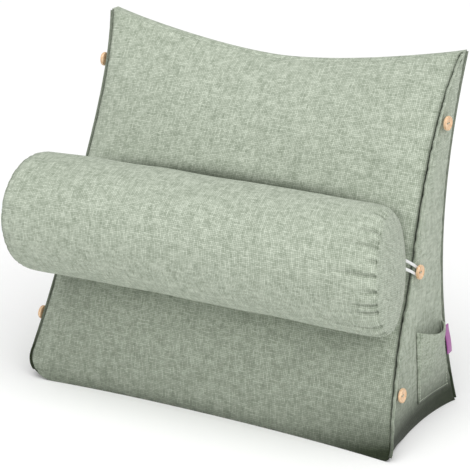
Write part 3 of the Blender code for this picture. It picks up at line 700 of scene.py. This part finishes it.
rim += [POCKET_ROWS * row + i for i in reversed(range(POCKET_COLUMNS))]
rim += [j * row for j in reversed(range(1, POCKET_ROWS))]
pocket_faces += [[one, two, two + shift, one + shift] for one, two in zip(rim, rim[1:] + rim[:1])]
pocket = mesh_piece("side_pocket", inner + outer, pocket_faces, linen)
turn_outwards(pocket)
pocket_flat = [flat_grid[loop.vertex_index % shift] for loop in pocket.data.loops]
# The pocket takes the painted shade of the side panel, darker towards the base.
lay_cloth(pocket, pocket_flat, low_shade(numpy.array(inner + outer), True))
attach(pocket, "root")
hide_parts("pocket_right")


# Lockstitches in a paler sage polyester thread hold the pocket along its sides and bottom, and its hem.
# The eye sees a row of short, slightly glossy beads.
STITCH_SPACING, STITCH_LENGTH, THREAD_RADIUS = 0.0034, 0.0025, 0.00035
THREAD_PROUD = 0.4            # the share of a thread's radius by which its middle stands off the cloth
EDGE_IN, BOTTOM_IN, HEM_SEAM, MOUTH_END = 0.035, 0.035, 0.87, 0.985


def stitch_tree(thread):
    """A node tree that lays stitches end to end along the edges of a mesh."""
    tree = bpy.data.node_groups.new("lockstitches", "GeometryNodeTree")
    tree.interface.new_socket(name="Line", in_out="INPUT", socket_type="NodeSocketGeometry")
    for name in ("Spacing", "Stitch length", "Thread radius"):
        tree.interface.new_socket(name=name, in_out="INPUT", socket_type="NodeSocketFloat")
    tree.interface.new_socket(name="Stitches", in_out="OUTPUT", socket_type="NodeSocketGeometry")
    sizes = add_node(tree, "NodeGroupInput").outputs
    path = add_node(tree, "GeometryNodeMeshToCurve", {"Mesh": sizes["Line"]})
    spots = add_node(tree, "GeometryNodeResampleCurve",
                     {"Curve": path.outputs["Curve"], "Length": sizes["Spacing"]}, mode="LENGTH")
    tangent = add_node(tree, "GeometryNodeInputTangent")
    turn = add_node(tree, "FunctionNodeAlignRotationToVector", {"Vector": tangent.outputs["Tangent"]},
                    axis="X")
    half_length = add_node(tree, "ShaderNodeMath", {0: sizes["Stitch length"], 1: 0.5},
                           operation="MULTIPLY")
    stretch = add_node(tree, "ShaderNodeCombineXYZ",
                       {"X": half_length.outputs[0], "Y": sizes["Thread radius"],
                        "Z": sizes["Thread radius"]})
    bead = add_node(tree, "GeometryNodeMeshUVSphere", Segments=6, Rings=5)
    laid = add_node(tree, "GeometryNodeInstanceOnPoints",
                    {"Points": spots.outputs["Curve"], "Instance": bead.outputs["Mesh"],
                     "Rotation": turn.outputs["Rotation"], "Scale": stretch.outputs[0]})
    real = add_node(tree, "GeometryNodeRealizeInstances", {"Geometry": laid.outputs["Instances"]})
    dyed = add_node(tree, "GeometryNodeSetMaterial", {"Geometry": real.outputs["Geometry"]}, Material=thread)
    add_node(tree, "NodeGroupOutput", {"Stitches": dyed.outputs["Geometry"]})
    return tree


def thread_material():
    """Twisted polyester thread: two near shades of sage in fine slanting bands, with a faint shine."""
    made, tree, shader = new_material("sage_polyester_thread", "#b3bba8", Roughness=0.55, Sheen_Weight=0.1)
    place = add_node(tree, "ShaderNodeTexCoord")
    twist = add_node(tree, "ShaderNodeTexWave", {"Vector": place.outputs["Object"]},
                     bands_direction="DIAGONAL", Scale=900.0)
    ramp = add_node(tree, "ShaderNodeValToRGB", {"Fac": twist.outputs["Fac"]})
    ramp.color_ramp.elements[0].color = srgb("#a4ac99")
    ramp.color_ramp.elements[1].color = srgb("#c2cab8")
    tree.links.new(ramp.outputs["Color"], shader.inputs["Base Color"])
    return made


def sewn(name, lines, tree):
    """Stitches laid by the tree along each line of points, as one plain mesh."""
    spots = [tuple(point) for line in lines for point in line]
    edges, first = [], 0
    for line in lines:
        edges += [(first + n, first + n + 1) for n in range(len(line) - 1)]
        first += len(line)
    mesh = bpy.data.meshes.new(name)
    mesh.from_pydata(spots, edges, [])
    item = bpy.data.objects.new(name, mesh)
    bpy.context.scene.collection.objects.link(item)
    layer = item.modifiers.new("stitches", "NODES")
    layer.node_group = tree
    sizes = {"Spacing": STITCH_SPACING, "Stitch length": STITCH_LENGTH, "Thread radius": THREAD_RADIUS}
    for socket in tree.interface.items_tree:
        if socket.name in sizes:
            layer[socket.identifier] = sizes[socket.name]
    item.data = bpy.data.meshes.new_from_object(item.evaluated_get(bpy.context.evaluated_depsgraph_get()))
    item.modifiers.clear()
    item.data.shade_smooth()
    return item


pocket_outside = BVHTree.FromPolygons([v.co.copy() for v in pocket.data.vertices],
                                      [list(face.vertices) for face in pocket.data.polygons])


def on_pocket(sideways, up):
    """Where a stitch at a place on the pocket has its middle."""
    y, z = pocket_spot(sideways, up)
    place = pocket_outside.ray_cast(Vector((0.5, y, z)), Vector((-1, 0, 0)))[0]
    return place + Vector((THREAD_RADIUS * THREAD_PROUD, 0, 0))


upward = numpy.linspace(BOTTOM_IN, MOUTH_END, 40)
crosswise = numpy.linspace(EDGE_IN, 1 - EDGE_IN, 40)
seam_lines = [[on_pocket(sideways, up) for up in upward] for sideways in (EDGE_IN, 1 - EDGE_IN)]
seam_lines += [[on_pocket(sideways, up) for sideways in crosswise] for up in (BOTTOM_IN, HEM_SEAM)]
thread = thread_material()
stitches = sewn("pocket_stitches", seam_lines, stitch_tree(thread))
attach(stitches, "root")


# Buttons: six turned beech buttons, waxed, each with a raised rim, a dish and two sewing holes, sewn
# on through a thread shank just behind the front seams.
BUTTON_RADIUS, BUTTON_THICK = 0.008, 0.0036
DISH_FLOOR, DISH_RISE, DISH_FLAT, DISH_WALL = BUTTON_THICK * 0.62, BUTTON_THICK * 0.36, 0.5, 0.4
HOLE_RADIUS, HOLE_SPREAD, HOLE_DEPTH, HOLE_PROUD = 0.0009, 0.0019, 0.0004, 0.0001
SEW_RADIUS, SEW_PAST_HOLE, SEW_ARCH = 0.0005, 0.0002, 0.0004
SHANK_RADIUS, SHANK_LENGTH = 0.0015, 0.0036


def wood_material():
    """Waxed beech: a pale, warm wood with a fine straight grain and a soft shine."""
    made, tree, shader = new_material("waxed_beech", "#e2b98c", Roughness=0.42, Coat_Weight=0.15,
                                      Coat_Roughness=0.3)
    place = add_node(tree, "ShaderNodeTexCoord")
    stretched = add_node(tree, "ShaderNodeMapping", {"Vector": place.outputs["Object"]},
                         Scale=(900, 900, 120))
    grain = add_node(tree, "ShaderNodeTexNoise", {"Vector": stretched.outputs["Vector"]}, Scale=1.0,
                     Detail=3.0)
    ramp = add_node(tree, "ShaderNodeValToRGB", {"Fac": grain.outputs["Fac"]})
    ramp.color_ramp.elements[0].position = 0.35
    ramp.color_ramp.elements[0].color = srgb("#d3a477")
    ramp.color_ramp.elements[1].position = 0.65
    ramp.color_ramp.elements[1].color = srgb("#f0d3b0")
    tree.links.new(ramp.outputs["Color"], shader.inputs["Base Color"])
    return made


def turned(profile, sides):
    """Points and faces of a turned shape, from the radius and the height of each of its rings."""
    angle = numpy.arange(sides) * 2 * math.pi / sides
    points = [(r * math.cos(t), r * math.sin(t), z) for r, z in profile for t in angle]
    return numpy.array(points), ring_faces(len(profile), sides)


def joined(name, parts, material):
    """Several small like parts, given as points and faces, as one piece."""
    spots, skin = [], []
    for part_spots, part_skin in parts:
        skin += [[n + len(spots) for n in face] for face in part_skin]
        spots += part_spots
    item = mesh_piece(name, spots, skin, material)
    turn_outwards(item)
    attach(item, "root")
    return item


beech = wood_material()
button_profile = [(0.0002, 0)]
for t in numpy.linspace(-math.pi / 2, math.pi / 2, 9):
    button_profile.append((BUTTON_RADIUS * (0.90 + 0.10 * math.cos(t)),
                           BUTTON_THICK * (0.5 + 0.5 * math.sin(t))))
for q in (0.84, 0.76, 0.66, 0.5, 0.3, 0.02):
    wall = max(0, (q - DISH_FLAT) / DISH_WALL) ** 2
    button_profile.append((BUTTON_RADIUS * q, DISH_FLOOR + DISH_RISE * wall))
button_points, button_faces = turned(button_profile, 40)
# The sewing holes are not bored: each is a dark brown disc standing on the dish floor, a painted hole shadow.
hole_profile = [(HOLE_RADIUS, DISH_FLOOR - HOLE_DEPTH), (HOLE_RADIUS, DISH_FLOOR + HOLE_PROUD),
                (0.0001, DISH_FLOOR + HOLE_PROUD)]
hole_points, hole_faces = turned(hole_profile, 12)
bar_profile = []
for t in numpy.linspace(0, math.pi, 9):
    bar_profile.append((SEW_RADIUS * (0.15 + math.sin(t) ** 0.5),
                        -(HOLE_SPREAD + SEW_PAST_HOLE) * math.cos(t)))
bar_points, bar_faces = turned(bar_profile, 8)
arch = SEW_ARCH * (1 - (bar_points[:, 2] / HOLE_SPREAD) ** 2)
bar_height = bar_points[:, 1] + DISH_FLOOR + SEW_RADIUS * 0.6 + arch
bar_points = numpy.stack((bar_points[:, 2], bar_points[:, 0], bar_height), axis=-1)

seats, holes, sewing = {}, [], []
for side, side_name in ((-1, "left"), (1, "right")):
    for level in ("top", "mid", "bottom"):
        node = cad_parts[f"button_{side_name}_{level}"]
        blank = numpy.array([v.co for v in node.data.vertices])
        middle = blank.mean(axis=0)
        axis = numpy.linalg.svd(blank - middle, full_matrices=False)[2][2]
        axis = axis * (side if axis[0] > 0 else -side)
        front = ((blank - middle) @ axis).max()
        place = Matrix.Translation(Vector(middle + axis * (front - BUTTON_THICK)))
        seat = place @ Vector(axis).to_track_quat("Z", "Y").to_matrix().to_4x4()
        seats[side_name, level] = seat
        placed = [seat @ Vector(point) for point in button_points]
        button = mesh_piece(f"beech_button_{side_name}_{level}", placed, button_faces, beech)
        turn_outwards(button)
        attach(button, "root")
        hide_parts(node.name)
        for way in (-HOLE_SPREAD, HOLE_SPREAD):
            holes.append(([seat @ Vector(spot + (way, 0, 0)) for spot in hole_points], hole_faces))
        sewing.append(([seat @ Vector(spot) for spot in bar_points], bar_faces))
hole_shadow = new_material("painted_hole_shadow", "#4a3018", Roughness=0.9)[0]
joined("button_hole_shadows", holes, hole_shadow)
joined("button_threads", sewing, thread)


# Elastic loops: white braided elastic, sewn into the roll's ends, hooked round the middle buttons.
LOOP_WIDE, LOOP_THICK = 0.0017, 0.0008
LOOP_SPREAD, LOOP_LIFT, LOOP_ROOT_UP, LOOP_ROOT_OUT = 0.0042, 0.0014, 0.014, 0.018
LOOP_SLACK, LOOP_SEWN_IN = 0.0003, 0.08


def elastic_material():
    """Braided elastic: matt white, with the fine slanting relief of its braid."""
    made, tree, shader = new_material("braided_elastic", "#e9eaea", Roughness=0.75, Sheen_Weight=0.1)
    place = add_node(tree, "ShaderNodeTexCoord")
    braid = add_node(tree, "ShaderNodeTexWave", {"Vector": place.outputs["Object"]}, wave_type="BANDS",
                     bands_direction="DIAGONAL", Scale=420.0, Distortion=1.0)
    relief = add_node(tree, "ShaderNodeBump", {"Height": braid.outputs["Fac"]}, Strength=0.5,
                      Distance=0.0003)
    tree.links.new(relief.outputs["Normal"], shader.inputs["Normal"])
    return made


elastic = elastic_material()
roll_skin = BVHTree.FromPolygons([Vector(point) for point in roll_points], roll_faces)
for side, side_name in ((-1, "left"), (1, "right")):
    seat = seats[side_name, "mid"]
    facing = numpy.array((seat.to_3x3() @ Vector((0, 0, 1))).normalized())
    centre = numpy.array(seat.translation) - facing * SHANK_LENGTH / 2
    start = FACE_ORIGIN + FACE_UP * (ROLL_UP_FACE + LOOP_ROOT_UP) + FACE_OUT * LOOP_ROOT_OUT
    root = numpy.array(roll_skin.ray_cast(Vector((side * 0.5, start[1], start[2])), Vector((-side, 0, 0)))[0])
    towards = (centre - root) / numpy.linalg.norm(centre - root)
    beside = numpy.cross(facing, towards)
    beside /= numpy.linalg.norm(beside)
    bight = SHANK_RADIUS + LOOP_WIDE + LOOP_SLACK
    strand = []
    for share in numpy.linspace(-LOOP_SEWN_IN, 1, 16)[:-1]:
        spread = LOOP_SPREAD + (bight - LOOP_SPREAD) * share
        lift = facing * LOOP_LIFT * math.sin(math.pi * max(share, 0))
        strand.append(root + (centre - root) * share + beside * spread + lift)
    bend = [centre + beside * bight * math.cos(t) + towards * bight * math.sin(t)
            for t in numpy.linspace(0, math.pi, 17)]
    return_strand = [point - 2 * beside * ((point - root) @ beside) for point in strand[::-1]]
    line = numpy.array(strand + bend + return_strand)
    along = numpy.gradient(line, axis=0)
    along /= numpy.linalg.norm(along, axis=1)[:, None]
    wide = numpy.cross(facing, along)
    wide /= numpy.linalg.norm(wide, axis=1)[:, None]
    frames = [(one, numpy.cross(t, one)) for one, t in zip(wide, along)]
    loop = sweep(f"elastic_loop_{side_name}", line, frames, oval(LOOP_WIDE, LOOP_THICK, 10), elastic)[0]
    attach(loop, "root")
    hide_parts(f"loop_{side_name}")


# Woven tag: a short length of purple satin ribbon, folded double and caught in the back seam beside
# the pocket. It is plain, with fine ribs across and a shine along its fold.
TAG_HEIGHT, TAG_WIDTH, TAG_MIDDLE_HEIGHT = 0.032, 0.012, 0.074
TAG_PLY, TAG_FLAT_SHARE, TAG_OUT, TAG_FORWARD, TAG_CURL = 0.0006, 0.94, 0.0040, 0.001, 0.0006
TAG_STEPS, PLY_STEPS = 30, 14


def ribbon_material():
    """Satin ribbon: purple in two near shades, with fine ribs in relief and a silky sheen."""
    made, tree, shader = new_material("purple_satin_ribbon", "#9a4f92", Roughness=0.5, Sheen_Weight=0.3,
                                      Sheen_Roughness=0.4)
    place = add_node(tree, "ShaderNodeTexCoord")
    ribs = add_node(tree, "ShaderNodeTexWave", {"Vector": place.outputs["Object"]}, bands_direction="Z",
                    Scale=260.0)
    ramp = add_node(tree, "ShaderNodeValToRGB", {"Fac": ribs.outputs["Fac"]})
    ramp.color_ramp.elements[0].color = srgb("#863f80")
    ramp.color_ramp.elements[1].color = srgb("#ad5fa4")
    tree.links.new(ramp.outputs["Color"], shader.inputs["Base Color"])
    relief = add_node(tree, "ShaderNodeBump", {"Height": ribs.outputs["Fac"]}, Strength=0.4, Distance=0.0002)
    tree.links.new(relief.outputs["Normal"], shader.inputs["Normal"])
    return made


ribbon = ribbon_material()
tag_outline = []
for t in numpy.linspace(0, 1, PLY_STEPS):
    tag_outline.append((-TAG_WIDTH / 2 + TAG_WIDTH * t * TAG_FLAT_SHARE,
                        TAG_PLY * (1.0 + 0.5 * math.sin(math.pi * t))))
for t in numpy.linspace(math.pi / 2, -math.pi / 2, 9):
    tag_outline.append((TAG_WIDTH * (TAG_FLAT_SHARE - 0.5) + TAG_PLY * math.cos(t), TAG_PLY * math.sin(t)))
for t in numpy.linspace(1, 0, PLY_STEPS):
    tag_outline.append((-TAG_WIDTH / 2 + TAG_WIDTH * t * TAG_FLAT_SHARE,
                        -TAG_PLY * (1.0 + 0.2 * math.sin(math.pi * t))))
tag_heights = TAG_MIDDLE_HEIGHT + TAG_HEIGHT * (numpy.linspace(0, 1, TAG_STEPS) - 0.5)
seam = cushion(numpy.ones(TAG_STEPS), numpy.ones(TAG_STEPS), 2 * tag_heights / HEIGHT - 1)
curl = TAG_CURL * numpy.sin(numpy.linspace(0, 5, TAG_STEPS))
line = numpy.stack((seam[:, 0] + TAG_OUT + curl, seam[:, 1] - TAG_FORWARD, tag_heights), axis=-1)
frames = [(numpy.array((0, 1, 0)), numpy.array((1, 0, 0)))] * TAG_STEPS
tag = sweep("satin_tag", line, frames, numpy.array(tag_outline), ribbon)[0]
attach(tag, "root")
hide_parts("tag_right")
